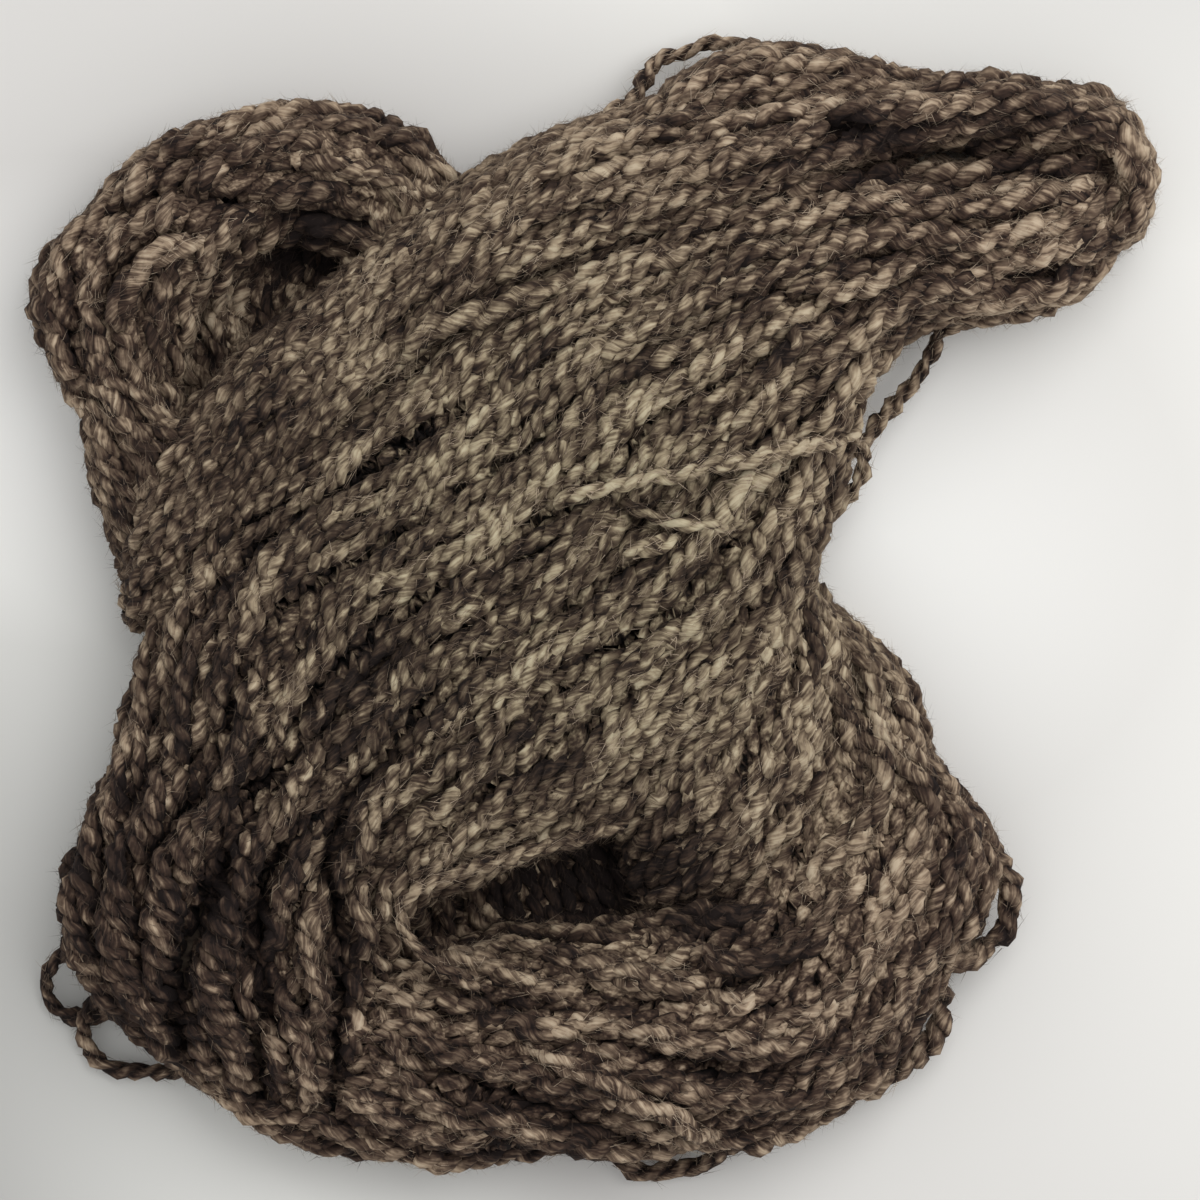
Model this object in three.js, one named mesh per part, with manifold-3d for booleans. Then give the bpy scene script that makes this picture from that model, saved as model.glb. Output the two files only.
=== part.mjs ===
// A small skein of thick-and-thin handspun wool, lying loosely crossed on a surface.
// Millimetres, +Z up, the surface at z = 0, +X to the right and +Y away, seen from above.
import * as THREE from 'three';
import { mergeVertices } from 'three/addons/utils/BufferGeometryUtils.js';
import Module from 'manifold-3d';

const wasm = await Module();
wasm.setup();

// Driving dimensions
const yarnWidth = 4.4;
const sink = 1.5;              // how far each bundle is pressed past the surface before it is levelled
const squareness = 2.5;        // 2 is an ellipse, more is a fuller section
const pointsPerRope = 3;       // the first lies in the furrow
const ropeUnevenness = 0.3;    // share of the furrow depth by which ropes differ
const ropePhase = 2.4;         // radians from one rope's unevenness to the next one's
const lumpHeight = 0.5;        // thick places in the ropes
const lumpPhase = 1.7;
const lumpWaves = 21;          // radians along a bundle, and a quarter of that for its unevenness
const looseSides = 6;
const looseStep = 5;
const wool = { color: 0x6a5d53, roughness: 0.95, metalness: 0 };

// Each bundle runs through its sections in turn. A section goes from edge a to edge b, across the
// strands, and from low to high. furrow is the depth between ropes of yarn, and lay is how far the
// ropes have rolled round the bundle there, in turns.
const sectionColumns = ['ax', 'ay', 'bx', 'by', 'low', 'high', 'furrow', 'lay'];

const bundles = {
  // The wide top fan: from the right end, over the crossing, to the ropes at the lower left
  fan: {
    ropes: 11,
    steps: 24,
    sections: [
      [105.6, 92, 106.6, 79, 0, 24, 1, 0],
      [93.2, 93.6, 98.2, 62.6, -sink, 35, 2, 0],
      [77.2, 92, 82.8, 56.4, -sink, 38, 2, 0],
      [56.8, 90.8, 66.2, 54, -sink, 41, 1.8, 0.01],
      [34.8, 89.6, 54.4, 43.6, -sink, 43, 1.5, 0.03],
      [9.2, 84, 52, 28.8, -sink, 45, 1.5, 0.05],
      [-16, 72.8, 49.6, 14.4, -sink, 46, 1.5, 0.07],
      [-38, 58.4, 45.6, -2.4, -sink, 46, 1.5, 0.09],
      [-59.6, 40.4, 34.2, -19, -sink, 46, 1.5, 0.11],
      [-78.8, 20.8, 19.2, -33, -sink, 45, 1.6, 0.13],
      [-90.8, -0.4, 2.2, -45.6, -sink, 43, 1.8, 0.14],
      [-95.6, -20.4, -16.8, -52.4, -sink, 41, 2.2, 0.14],
      [-102.8, -40, -31.6, -59.6, -sink, 39, 3, 0.14],
      [-108.4, -57, -38.4, -71, -sink, 37, 3.6, 0.14],
      [-105.6, -70, -41.2, -85, -sink, 34, 3.8, 0.14],
      [-94.8, -82.4, -43.6, -98, -sink, 29, 3.6, 0.14],
      [-81.2, -94, -49.8, -108, -sink, 16, 1.8, 0.14],
    ],
  },
  // The strands behind the dark crevice, which run over the far shoulder and under at the left
  shoulder: {
    ropes: 7,
    steps: 17,
    sections: [
      [105.2, 102, 104.2, 92, 2, 28, 0.8, 0],
      [91.2, 106, 91.2, 88.8, -sink, 38, 1.8, 0],
      [77.2, 107.6, 74.8, 87.6, -sink, 40, 1.8, 0],
      [61.2, 105.2, 54.8, 84, -sink, 41, 1.7, 0],
      [41.2, 102.8, 34.2, 77, -sink, 42, 1.6, 0],
      [21.2, 101.2, 10.2, 69.6, -sink, 43, 1.6, 0],
      [1.2, 97.6, -11.8, 60.4, -sink, 43, 1.6, 0],
      [-18.8, 88.4, -33.8, 45.4, -sink, 43, 1.6, 0],
      [-35.2, 78.4, -54.8, 28.4, -sink, 42, 1.6, 0],
      [-52.8, 66, -73.2, 12.4, -sink, 40, 1.6, 0],
      [-69.8, 52, -86.8, -1, -sink, 36, 1.6, 0],
      [-85.8, 37, -90.8, -5, -sink, 30, 1.2, 0],
      [-95.2, 22, -92.4, -4, -sink, 16, 0.6, 0],
    ],
  },
  // The lower strands that show behind the shoulder
  back: {
    ropes: 5,
    steps: 12,
    sections: [
      [73.2, 106.4, 71.2, 96, -sink, 20, 0.8, 0],
      [61.2, 108.8, 59.2, 94, -sink, 29, 1.2, 0],
      [49.2, 112.4, 47.2, 93, -sink, 31, 1.4, 0],
      [34.2, 114.4, 34.2, 92, -sink, 31, 1.4, 0],
      [22.4, 110.8, 23.2, 90, -sink, 31, 1.2, 0],
      [12.2, 103.6, 13.2, 86, -sink, 32, 1, 0],
      [-0.8, 98.8, 3.2, 81, -sink, 33, 1, 0],
      [-14.8, 92.8, -8.8, 75, -sink, 32, 1, 0],
      [-28.8, 85.6, -20.8, 68, -sink, 28, 0.8, 0],
    ],
  },
  // The turn at the right end, where the shoulder's strands come back into the fan
  rightTurn: {
    ropes: 6,
    steps: 12,
    sections: [
      [86.2, 102.8, 86.8, 90, 4, 34, 1, 0],
      [97.2, 104.4, 95.2, 90, 0, 36, 1.4, 0],
      [106.8, 101.2, 100.8, 88.4, -sink, 35, 1.6, 0],
      [112.6, 92.4, 102.8, 85.2, -sink, 33, 1.6, 0],
      [113.2, 83.6, 102.8, 81.6, -sink, 31, 1.6, 0],
      [109.6, 75.6, 100.8, 78.4, -sink, 31, 1.6, 0],
      [102.8, 69.6, 95.6, 75.6, 0, 32, 1.4, 0],
      [93.2, 65.2, 88.2, 74.8, 4, 32, 0.8, 0],
    ],
  },
  // The loop at the upper left, round its hollow
  lobe: {
    ropes: 9,
    steps: 20,
    sections: [
      [-17.8, 79, -38.8, 54, -sink, 24, 0.8, 0],
      [-26.4, 86.4, -46.8, 62.8, -sink, 28, 1.4, 0],
      [-33.8, 95.2, -51.6, 68.4, -sink, 30, 1.8, 0],
      [-44.8, 100.4, -55.8, 70.8, -sink, 32, 2, 0],
      [-58.8, 102.6, -60.4, 71.6, -sink, 33, 2, 0],
      [-76, 99.2, -65.2, 70.8, -sink, 33, 2, 0],
      [-91.2, 92.4, -69.6, 68.4, -sink, 33, 2, 0],
      [-103.2, 83.2, -72.8, 64.8, -sink, 32, 2, 0],
      [-111.2, 72, -74.8, 59.6, -sink, 31, 1.8, 0],
      [-113.6, 61.2, -75.2, 53.6, -sink, 31, 1.8, 0],
      [-109.2, 50.4, -74, 47.2, -sink, 31, 1.8, 0],
      [-103.2, 40, -70.8, 40, -sink, 31, 1.6, 0],
      [-102, 28.4, -66.4, 31, -sink, 30, 1.4, 0],
      [-98, 16, -60.8, 21, -sink, 27, 1, 0],
      [-90.4, 0, -54.8, 10, -sink, 22, 0.6, 0],
    ],
  },
  // The lower loop: out from under the ropes, along the near edge and up the right side
  sweep: {
    ropes: 10,
    steps: 26,
    sections: [
      [-52.8, -64, -88.8, -86, -sink, 22, 0.8, 0],
      [-44.4, -71, -72.4, -100.4, -sink, 27, 1.6, 0],
      [-36.4, -69.6, -52.8, -108.4, -sink, 30, 2.2, -0.02],
      [-27.8, -67.2, -32.8, -112, -sink, 32, 2.4, -0.05],
      [-14.8, -66, -10.8, -112.2, -sink, 33, 2.4, -0.09],
      [-0.4, -65, 12.2, -111.6, -sink, 34, 2.4, -0.13],
      [13.2, -61.6, 30.2, -109, -sink, 34, 2.4, -0.16],
      [24.2, -55, 46.2, -105.6, -sink, 34, 2.4, -0.18],
      [31.2, -47, 60.2, -92.8, -sink, 33, 2.4, -0.19],
      [35.6, -38, 70.2, -77.6, -sink, 33, 2.4, -0.19],
      [38, -29.6, 81.6, -62.4, -sink, 32, 2.2, -0.19],
      [38.8, -21, 82, -48, -sink, 31, 2, -0.19],
      [38, -13, 73.2, -34.4, -sink, 30, 2, -0.19],
      [35.6, -5, 66.8, -16.4, -sink, 30, 1.8, -0.19],
      [31.2, 2, 58, -2.4, -sink, 28, 1.6, -0.19],
      [24.2, 10, 47.6, 5, -sink, 25, 1, -0.19],
      [15.2, 18, 35.2, 13, -sink, 22, 0.6, -0.19],
    ],
  },
  // The inner strands of the lower loop, beside the dark pocket
  inside: {
    ropes: 7,
    steps: 12,
    sections: [
      [1.2, -31, 11.2, -65, -sink, 20, 1, 0],
      [3.6, -24.4, 21.2, -63, -sink, 29, 1.6, 0],
      [9.2, -16.4, 33.2, -56, -sink, 35, 2, 0],
      [14.2, -8.4, 42.2, -46, -sink, 37, 2, 0],
      [19.2, -0.4, 48.4, -34, -sink, 38, 2, 0],
      [22.2, 6.6, 51.6, -22, -sink, 37, 1.8, 0],
      [24.2, 13, 51.6, -10, -sink, 34, 1.2, 0],
      [25.2, 18, 46.8, 2, -sink, 27, 0.6, 0],
    ],
  },
  // The lowest pass, which closes the hollow and the pocket from below
  bed: {
    ropes: 5,
    steps: 10,
    sections: [
      [-67.8, 82, -42.8, 77, -sink, 12, 0.5, 0],
      [-81.8, 67, -43.8, 67, -sink, 16, 1, 0],
      [-80.8, 48, -42.8, 56, -sink, 16, 1, 0],
      [-72.8, 28, -24.8, 38, -sink, 18, 0.5, 0],
      [-50.8, -18, 9.2, 2, -sink, 18, 0, 0],
      [-49.8, -50, 13.2, -30, -sink, 14, 1, 0],
      [-45.8, -68, 17.2, -48, -sink, 10, 1, 0],
      [-36.8, -84, 21.2, -70, -sink, 10, 0.5, 0],
    ],
  },
};

// Single strands that stand off the bundles, by the middle of the yarn: x, y, z
const looseStrands = {
  right: [
    [78.2, 58.4, 14], [70.8, 55.6, 12], [68.8, 50.4, 10], [65.2, 44.4, 9], [59.8, 39, 10], [54.8, 34, 12],
    [48.2, 28, 16],
  ],
  notch: [[48.8, 37, 22], [55.6, 32.4, 15], [56, 26.8, 13], [52, 21, 13], [45.2, 15.6, 17]],
  crown: [
    [2.2, 97.6, 15], [8.8, 104, 10], [12, 109.6, 7], [19.2, 112.8, 7], [28.2, 113.6, 10],
    [38.2, 109.6, 14],
  ],
  corner: [
    [-99.6, -65, 14], [-107.4, -70, 8], [-110.4, -75.6, 4], [-108.4, -80.8, 3], [-102.8, -82.4, 3],
    [-97.2, -79.6, 6], [-90.8, -75, 12],
  ],
  heel: [
    [-93.8, -73, 12], [-101.6, -80.4, 5], [-103.2, -86.4, 3], [-98.8, -91.2, 3], [-91.8, -93.2, 3],
    [-84.4, -92.8, 4], [-75.8, -90.4, 12],
  ],
  elbow: [
    [74.8, -46, 16], [82.4, -49.6, 12], [85.6, -56.6, 10], [83.6, -65, 8], [77.6, -70, 8],
    [69.2, -70.4, 14],
  ],
  cuff: [
    [66.2, -71, 14], [71.2, -76.8, 8], [71.2, -83.6, 7], [66.2, -90, 7], [59.6, -95.6, 8],
    [51.2, -97.6, 14],
  ],
  hem: [[-1.8, -107, 12], [7.2, -111.6, 5], [14, -113.6, 4], [21.2, -111.6, 5], [30.2, -106.4, 12]],
};

// Turns rows under named columns into objects
function named(columns, rows) {
  return rows.map((row) => Object.fromEntries(columns.map((column, i) => [column, row[i]])));
}

function smoothCurve(points) {
  return new THREE.CatmullRomCurve3(points.map((point) => new THREE.Vector3(...point)));
}

// A column's value between two rows, at a share of the way along the table
function valueAt(rows, column, along) {
  const place = along * (rows.length - 1);
  const before = Math.min(Math.floor(place), rows.length - 2);
  return THREE.MathUtils.lerp(rows[before][column], rows[before + 1][column], place - before);
}

// The unit outline of a full section, and its lengths, for even spacing round it
const outlineSteps = 96;
const fullness = 2 / squareness;

function outlinePoint(angle) {
  const across = Math.cos(angle);
  const up = Math.sin(angle);
  return new THREE.Vector2(
    Math.sign(across) * Math.abs(across) ** fullness,
    Math.sign(up) * Math.abs(up) ** fullness,
  );
}

function outlineLengths(halfWidth, halfHeight) {
  const lengths = [0];
  const half = new THREE.Vector2(halfWidth, halfHeight);
  let last = outlinePoint(0).multiply(half);
  for (let i = 1; i <= outlineSteps; i += 1) {
    const next = outlinePoint((i / outlineSteps) * 2 * Math.PI).multiply(half);
    lengths.push(lengths[i - 1] + next.distanceTo(last));
    last = next;
  }
  return lengths;
}

// The angle at a share of the way round a section
function angleAt(share, lengths) {
  const wanted = (share - Math.floor(share)) * lengths[outlineSteps];
  let i = 1;
  while (lengths[i] < wanted) i += 1;
  const within = (wanted - lengths[i - 1]) / (lengths[i] - lengths[i - 1]);
  return ((i - 1 + within) / outlineSteps) * 2 * Math.PI;
}

// A bundle's sections, steps + 1 of them, from smooth curves along its edges
function measuredSections({ steps, sections }) {
  const rows = named(sectionColumns, sections);
  const edgeA = smoothCurve(rows.map((row) => [row.ax, row.ay, row.low]));
  const edgeB = smoothCurve(rows.map((row) => [row.bx, row.by, row.high]));
  return Array.from({ length: steps + 1 }, (_, i) => {
    const along = i / steps;
    const a = edgeA.getPoint(along);
    const b = edgeB.getPoint(along);
    const across = new THREE.Vector3(b.x - a.x, b.y - a.y, 0);
    const halfWidth = across.length() / 2;
    const halfHeight = (b.z - a.z) / 2;
    return {
      along,
      halfWidth,
      halfHeight,
      middle: a.clone().lerp(b, 0.5),
      across: across.normalize(),
      furrow: valueAt(rows, 'furrow', along),
      lay: valueAt(rows, 'lay', along),
      lengths: outlineLengths(halfWidth, halfHeight),
    };
  });
}

// How far a point of a rope lies inside its section's outline: most in the furrows, least on the crowns
function insetAt(section, rope, pointInRope) {
  const crown = Math.sin((Math.PI * pointInRope) / pointsPerRope);
  const uneven = 1 + ropeUnevenness * Math.sin(rope * ropePhase + (section.along * lumpWaves) / 4);
  const lump = lumpHeight * Math.sin(rope * lumpPhase + section.along * lumpWaves);
  return section.furrow * (1 - crown) * uneven - Math.min(section.furrow, 1) * lump * crown;
}

// A closed solid for a bundle of strands: a capped cylinder bent through the sections, with its ropes raised
function bundleGeometry(bundle) {
  const sections = measuredSections(bundle);
  const around = bundle.ropes * pointsPerRope;
  const geometry = new THREE.CylinderGeometry(1, 1, 1, around, bundle.steps);
  geometry.deleteAttribute('normal');
  geometry.deleteAttribute('uv');
  const places = geometry.attributes.position;
  for (let i = 0; i < places.count; i += 1) {
    const section = sections[Math.round((places.getY(i) + 0.5) * bundle.steps)];
    const place = section.middle.clone();
    const middleOfCap = Math.hypot(places.getX(i), places.getZ(i)) < 0.5;
    if (!middleOfCap) {
      const turn = Math.atan2(places.getX(i), places.getZ(i)) / (2 * Math.PI);
      const step = Math.round(turn * around + around) % around;
      const inset = insetAt(section, Math.floor(step / pointsPerRope), step % pointsPerRope);
      const outline = outlinePoint(angleAt(step / around + section.lay, section.lengths));
      place.addScaledVector(section.across, outline.x * (section.halfWidth - inset));
      place.z += outline.y * (section.halfHeight - inset);
    }
    places.setXYZ(i, place.x, place.y, place.z);
  }
  return mergeVertices(geometry);
}

// A single strand as a closed tube along its points
function strandGeometry(points) {
  const path = smoothCurve(points);
  const shape = new THREE.Shape().absarc(0, 0, yarnWidth / 2, 0, 2 * Math.PI);
  const geometry = new THREE.ExtrudeGeometry(shape, {
    extrudePath: path,
    steps: Math.round(path.getLength() / looseStep),
    curveSegments: looseSides / 2,
    bevelEnabled: false,
  });
  geometry.deleteAttribute('normal');
  geometry.deleteAttribute('uv');
  return mergeVertices(geometry);
}

function signedVolume(geometry) {
  const { position } = geometry.attributes;
  const [a, b, c] = [new THREE.Vector3(), new THREE.Vector3(), new THREE.Vector3()];
  let volume = 0;
  for (let i = 0; i < geometry.index.count; i += 3) {
    a.fromBufferAttribute(position, geometry.index.getX(i));
    b.fromBufferAttribute(position, geometry.index.getX(i + 1));
    c.fromBufferAttribute(position, geometry.index.getX(i + 2));
    volume += a.dot(b.cross(c)) / 6;
  }
  return volume;
}

// A solid for joining and cutting, with its faces pointing out whichever way the sections run
function solid(geometry) {
  const triVerts = new Uint32Array(geometry.index.array);
  if (signedVolume(geometry) < 0) {
    for (let i = 0; i < triVerts.length; i += 3) {
      [triVerts[i], triVerts[i + 1]] = [triVerts[i + 1], triVerts[i]];
    }
  }
  const vertProperties = new Float32Array(geometry.attributes.position.array);
  return new wasm.Manifold(new wasm.Mesh({ numProp: 3, vertProperties, triVerts }));
}

// Everything above the surface, so that what is pressed past it comes out flat
function aboveSurface() {
  const reach = 400;
  const box = new THREE.BoxGeometry(reach, reach, reach);
  box.translate(0, 0, reach / 2);
  box.deleteAttribute('normal');
  box.deleteAttribute('uv');
  return solid(mergeVertices(box));
}

// The outer skin alone: small spaces shut in between bundles are filled
function outerSkin(whole) {
  const skins = whole.decompose();
  return skins.reduce((outer, skin) => (skin.volume() > outer.volume() ? skin : outer));
}

function skeinMesh() {
  const pieces = [
    ...Object.values(bundles).map(bundleGeometry),
    ...Object.values(looseStrands).map(strandGeometry),
  ].map(solid);
  const joined = pieces.reduce((whole, piece) => whole.add(piece)).intersect(aboveSurface());
  const { vertProperties, triVerts } = outerSkin(joined).getMesh();
  const geometry = new THREE.BufferGeometry();
  geometry.setAttribute('position', new THREE.BufferAttribute(new Float32Array(vertProperties), 3));
  geometry.setIndex(new THREE.BufferAttribute(new Uint32Array(triVerts), 1));
  geometry.computeVertexNormals();
  const mesh = new THREE.Mesh(geometry, new THREE.MeshStandardMaterial(wool));
  mesh.name = 'skein';
  return mesh;
}

const part = new THREE.Group();
part.add(skeinMesh());

export default part;
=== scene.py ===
"""The look of the wool skein: its two-ply yarn laid along each bundle, its fuzz, light and camera."""

import bpy
import numpy as np
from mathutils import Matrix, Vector
from mathutils.bvhtree import BVHTree


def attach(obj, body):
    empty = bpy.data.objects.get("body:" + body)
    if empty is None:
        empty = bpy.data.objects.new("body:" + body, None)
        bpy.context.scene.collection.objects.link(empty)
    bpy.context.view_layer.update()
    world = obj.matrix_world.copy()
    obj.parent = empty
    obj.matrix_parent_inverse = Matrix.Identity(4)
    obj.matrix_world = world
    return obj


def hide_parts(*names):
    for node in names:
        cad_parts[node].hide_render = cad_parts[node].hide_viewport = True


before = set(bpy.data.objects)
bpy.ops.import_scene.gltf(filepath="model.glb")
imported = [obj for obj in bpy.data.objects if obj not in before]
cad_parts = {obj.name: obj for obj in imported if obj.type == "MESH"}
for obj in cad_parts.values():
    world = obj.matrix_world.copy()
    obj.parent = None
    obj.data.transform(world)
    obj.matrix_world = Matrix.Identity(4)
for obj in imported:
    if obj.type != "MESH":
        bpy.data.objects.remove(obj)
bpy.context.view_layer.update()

# Driving dimensions in millimetres, in the frame's axes
MM = 0.001
YARN = 4.4
YARN_RADIUS = YARN / 2
PITCH = 4.1  # between neighbouring strands that aren't crowded
CLOSE = 3.9  # how near two strands' middles come where they are crowded
SINK = 1.5
SQUARENESS = 2.5
PLY_RADIUS = 0.335 * YARN
PLY_OFFSET = 0.18 * YARN
PLY_TURN = 8.4  # along the yarn, for one turn of its two plies
FIBRE_TURN = 1.15  # how fast the fibres turn in a ply, against the plies' turn, in radians a mm
SEED = 11
UP = np.array([0, 0, 1.0])

# Each bundle's sections in turn: edges a and b across the strands, the height, the depth between its
# ropes, how far the strands have rolled round the bundle there, in turns, and the lowest level
AX, AY, BX, BY, HIGH, FURROW, LAY, LOW = range(8)
USUAL = (0, -SINK)  # the last two of these, where a section leaves them out
BUNDLES = {
    "fan": [
        (105.6, 92, 106.6, 79, 24, 1, 0, 0), (93.2, 93.6, 98.2, 62.6, 35, 2),
        (77.2, 92, 82.8, 56.4, 38, 2), (56.8, 90.8, 65.2, 54.2, 41, 1.8, 0.01),
        (34.8, 89.6, 55.2, 43, 43, 1.5, 0.03), (9.2, 84, 52, 28.8, 45, 1.5, 0.05),
        (-16, 72.8, 47.2, 14.6, 46, 1.5, 0.07), (-38, 58.4, 44.2, -2, 46, 1.5, 0.09),
        (-59.6, 40.4, 34.2, -19, 46, 1.5, 0.11), (-78.8, 20.8, 19.2, -33, 45, 1.6, 0.13),
        (-90.8, -0.4, 2.2, -45.6, 43, 1.8, 0.14), (-95.6, -20.4, -16.8, -52.4, 41, 2.2, 0.14),
        (-102.8, -40, -31.6, -59.6, 39, 3, 0.14), (-108.4, -57, -38.4, -71, 37, 3.6, 0.14),
        (-105.6, -70, -41.2, -85, 34, 3.8, 0.14), (-94.8, -82.4, -43.6, -98, 29, 3.6, 0.14),
        (-81.2, -94, -49.8, -108, 16, 1.8, 0.14),
    ],
    "shoulder": [
        (105.2, 102, 104.2, 94, 28, 0.8, 0, 2), (91.2, 106, 91.2, 91.8, 38, 1.8),
        (77.2, 107.6, 75.5, 91, 40, 1.8), (61.2, 105.2, 56, 88, 41, 1.7), (41.2, 102.8, 35, 79, 42, 1.6),
        (21.2, 101.2, 10.2, 69.6, 43, 1.6), (0.8, 98.6, -11.8, 60.4, 43, 1.6),
        (-19.6, 89.8, -33.8, 45.4, 43, 1.6), (-35.8, 79.4, -54.8, 28.4, 42, 1.6),
        (-52.8, 66, -73.2, 12.4, 40, 1.6), (-69.8, 52, -86.8, -1, 36, 1.6),
        (-85.8, 37, -90.8, -5, 30, 1.2), (-95.2, 22, -92.4, -4, 16, 0.6),
    ],
    "back": [
        (73.6, 107, 71.2, 96, 20, 0.8), (61.8, 109.8, 59.2, 94, 29, 1.2),
        (49.6, 113.2, 47.2, 93, 31, 1.4), (34.2, 114.4, 34.2, 92, 31, 1.4),
        (22.4, 110.8, 23.2, 90, 31, 1.2), (12.2, 103.6, 13.2, 86, 32, 1), (-1.2, 99.8, 3.2, 81, 33, 1),
        (-15.6, 94, -8.8, 75, 32, 1), (-29.6, 86.6, -20.8, 68, 28, 0.8),
    ],
    "right_turn": [
        (86.2, 102.8, 86.8, 90, 34, 1, 0, 4), (97.2, 104.4, 95.2, 90, 36, 1.4, 0, 0),
        (106.2, 100.6, 100.8, 88.4, 35, 1.6), (112.6, 92.4, 102.8, 85.2, 33, 1.6),
        (113.2, 83.6, 102.8, 81.6, 31, 1.6), (111.2, 75.8, 100.8, 78.4, 31, 1.6),
        (102.8, 69.6, 95.6, 75.6, 32, 1.4, 0, 0), (93.2, 65.2, 88.2, 74.8, 32, 0.8, 0, 4),
    ],
    "lobe": [
        (-17.8, 79, -38.8, 54, 24, 0.8), (-25.6, 87.2, -46.8, 62.8, 28, 1.4),
        (-32.8, 96.4, -51.6, 68.4, 30, 2), (-44.2, 101.6, -55.8, 70.8, 32, 2.4),
        (-58.4, 103.4, -60.4, 71.6, 33, 2.4), (-76.6, 100, -65.2, 70.8, 33, 2.4),
        (-91.2, 92.4, -69.6, 68.4, 33, 2.4), (-101.8, 82.4, -72.8, 64.8, 32, 2.4),
        (-111.2, 72, -76.8, 59.4, 31, 2.2), (-113.6, 61.2, -79.6, 53, 31, 2.2),
        (-110.6, 50.6, -81.2, 45.4, 31, 1.8), (-104.6, 40, -79, 37.6, 31, 1.6),
        (-103.4, 28.4, -66.4, 31, 30, 1.4), (-99.4, 16.4, -60.8, 21, 27, 1),
        (-90.4, 0, -54.8, 10, 22, 0.6),
    ],
    "sweep": [
        (-52.8, -64, -88.8, -86, 22, 0.8), (-44.4, -68.6, -73.2, -102.2, 27, 1.6),
        (-36.4, -66, -53.2, -110, 30, 2.2, -0.02), (-27.8, -63.4, -33, -112.8, 32, 2.4, -0.05),
        (-14.8, -62, -10.8, -111.6, 33, 2.4, -0.09), (-0.4, -61.4, 12.2, -111, 34, 2.4, -0.13),
        (13.2, -59.4, 30, -108.8, 34, 2.4, -0.16), (24.2, -55, 45.4, -104.4, 34, 2.4, -0.18),
        (31.2, -47, 60.2, -92.8, 33, 2.4, -0.19), (35.6, -38, 69.6, -77.6, 33, 2.4, -0.19),
        (38, -29.6, 79.6, -62.4, 32, 2.2, -0.19), (38.8, -21, 81.4, -48, 31, 2, -0.19),
        (38, -13, 72, -34.8, 30, 2, -0.19), (35.6, -5, 65.6, -17.2, 30, 1.8, -0.19),
        (31.2, 2, 55.2, -5, 28, 1.6, -0.19), (24.2, 10, 44.8, 2, 25, 1, -0.19),
        (15.2, 18, 35.2, 13, 22, 0.6, -0.19),
    ],
    "inside": [
        (1.2, -31, 11.2, -65, 20, 1), (3.6, -24.4, 21.2, -63, 29, 1.6), (9.2, -16.4, 33.2, -56, 35, 2),
        (14.2, -8.4, 42.2, -46, 37, 2), (19.2, -0.4, 48.4, -34, 38, 2), (22.2, 6.6, 51.6, -22, 37, 1.8),
        (24.2, 13, 51.6, -10, 34, 1.2), (25.2, 18, 46.8, 2, 27, 0.6),
    ],
    "bed": [
        (-67.8, 82, -42.8, 77, 9, 0.5), (-87.8, 67, -43.8, 67, 10, 1), (-90.8, 48, -42.8, 56, 10, 1),
        (-82.8, 28, -24.8, 38, 11, 0.5), (-50.8, -18, 9.2, 2, 11, 0), (-49.8, -50, 13.2, -30, 10, 1),
        (-45.8, -68, 17.2, -48, 10, 1), (-36.8, -84, 21.2, -70, 10, 0.5),
    ],
}

# Single strands off the bundles, by the middle of the yarn: x, y, z
LOOSE = {
    "right": [
        (76.4, 59, 16), (69.8, 55.6, 13), (67, 50.2, 10), (63.2, 44.6, 9), (58.4, 39, 10),
        (53.8, 34, 12), (47.4, 28, 16),
    ],
    "notch": [(46.8, 37, 22), (53.2, 32.4, 15), (53.4, 26.8, 13), (49.6, 21, 13), (42.8, 15.6, 17)],
    "crown": [
        (2.2, 97.6, 15), (8.8, 104, 10), (12, 109.6, 7), (19.2, 112.8, 7), (28.2, 113.6, 10),
        (38.2, 109.6, 14),
    ],
    "corner": [
        (-99.6, -65, 14), (-107.4, -70, 8), (-110.4, -75.6, 4), (-108.4, -80.8, 3), (-102.8, -82.4, 3),
        (-97.2, -79.6, 6), (-90.8, -75, 12),
    ],
    "heel": [
        (-93.8, -73, 12), (-101.6, -80.4, 5), (-103.2, -86.4, 3), (-98.8, -91.2, 3), (-91.8, -93.2, 3),
        (-84.4, -92.8, 4), (-75.8, -90.4, 12),
    ],
    "elbow": [
        (74.8, -44, 18), (80.4, -48.6, 14), (83.6, -55.6, 12), (82.4, -63.6, 10), (77, -69.4, 10),
        (69.2, -70.4, 16),
    ],
    "cuff": [
        (64.8, -71, 16), (69.4, -76.8, 10), (69.4, -83.6, 8), (64.6, -89.6, 8), (58.4, -94.6, 9),
        (50.2, -97, 16),
    ],
    "hem": [(-1.8, -107, 12), (7.2, -111.6, 5), (14, -113.6, 4), (21.2, -111.6, 5), (30.2, -106.4, 12)],
}


# How thick the thicker ones of them are, how thick the others are, and how slubbed they all are
THICK = {"elbow": 1.12, "cuff": 1.08, "hem": 0.9}
USUAL_THICK = 0.78
LOOSE_SLUBS = 0.3

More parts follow.
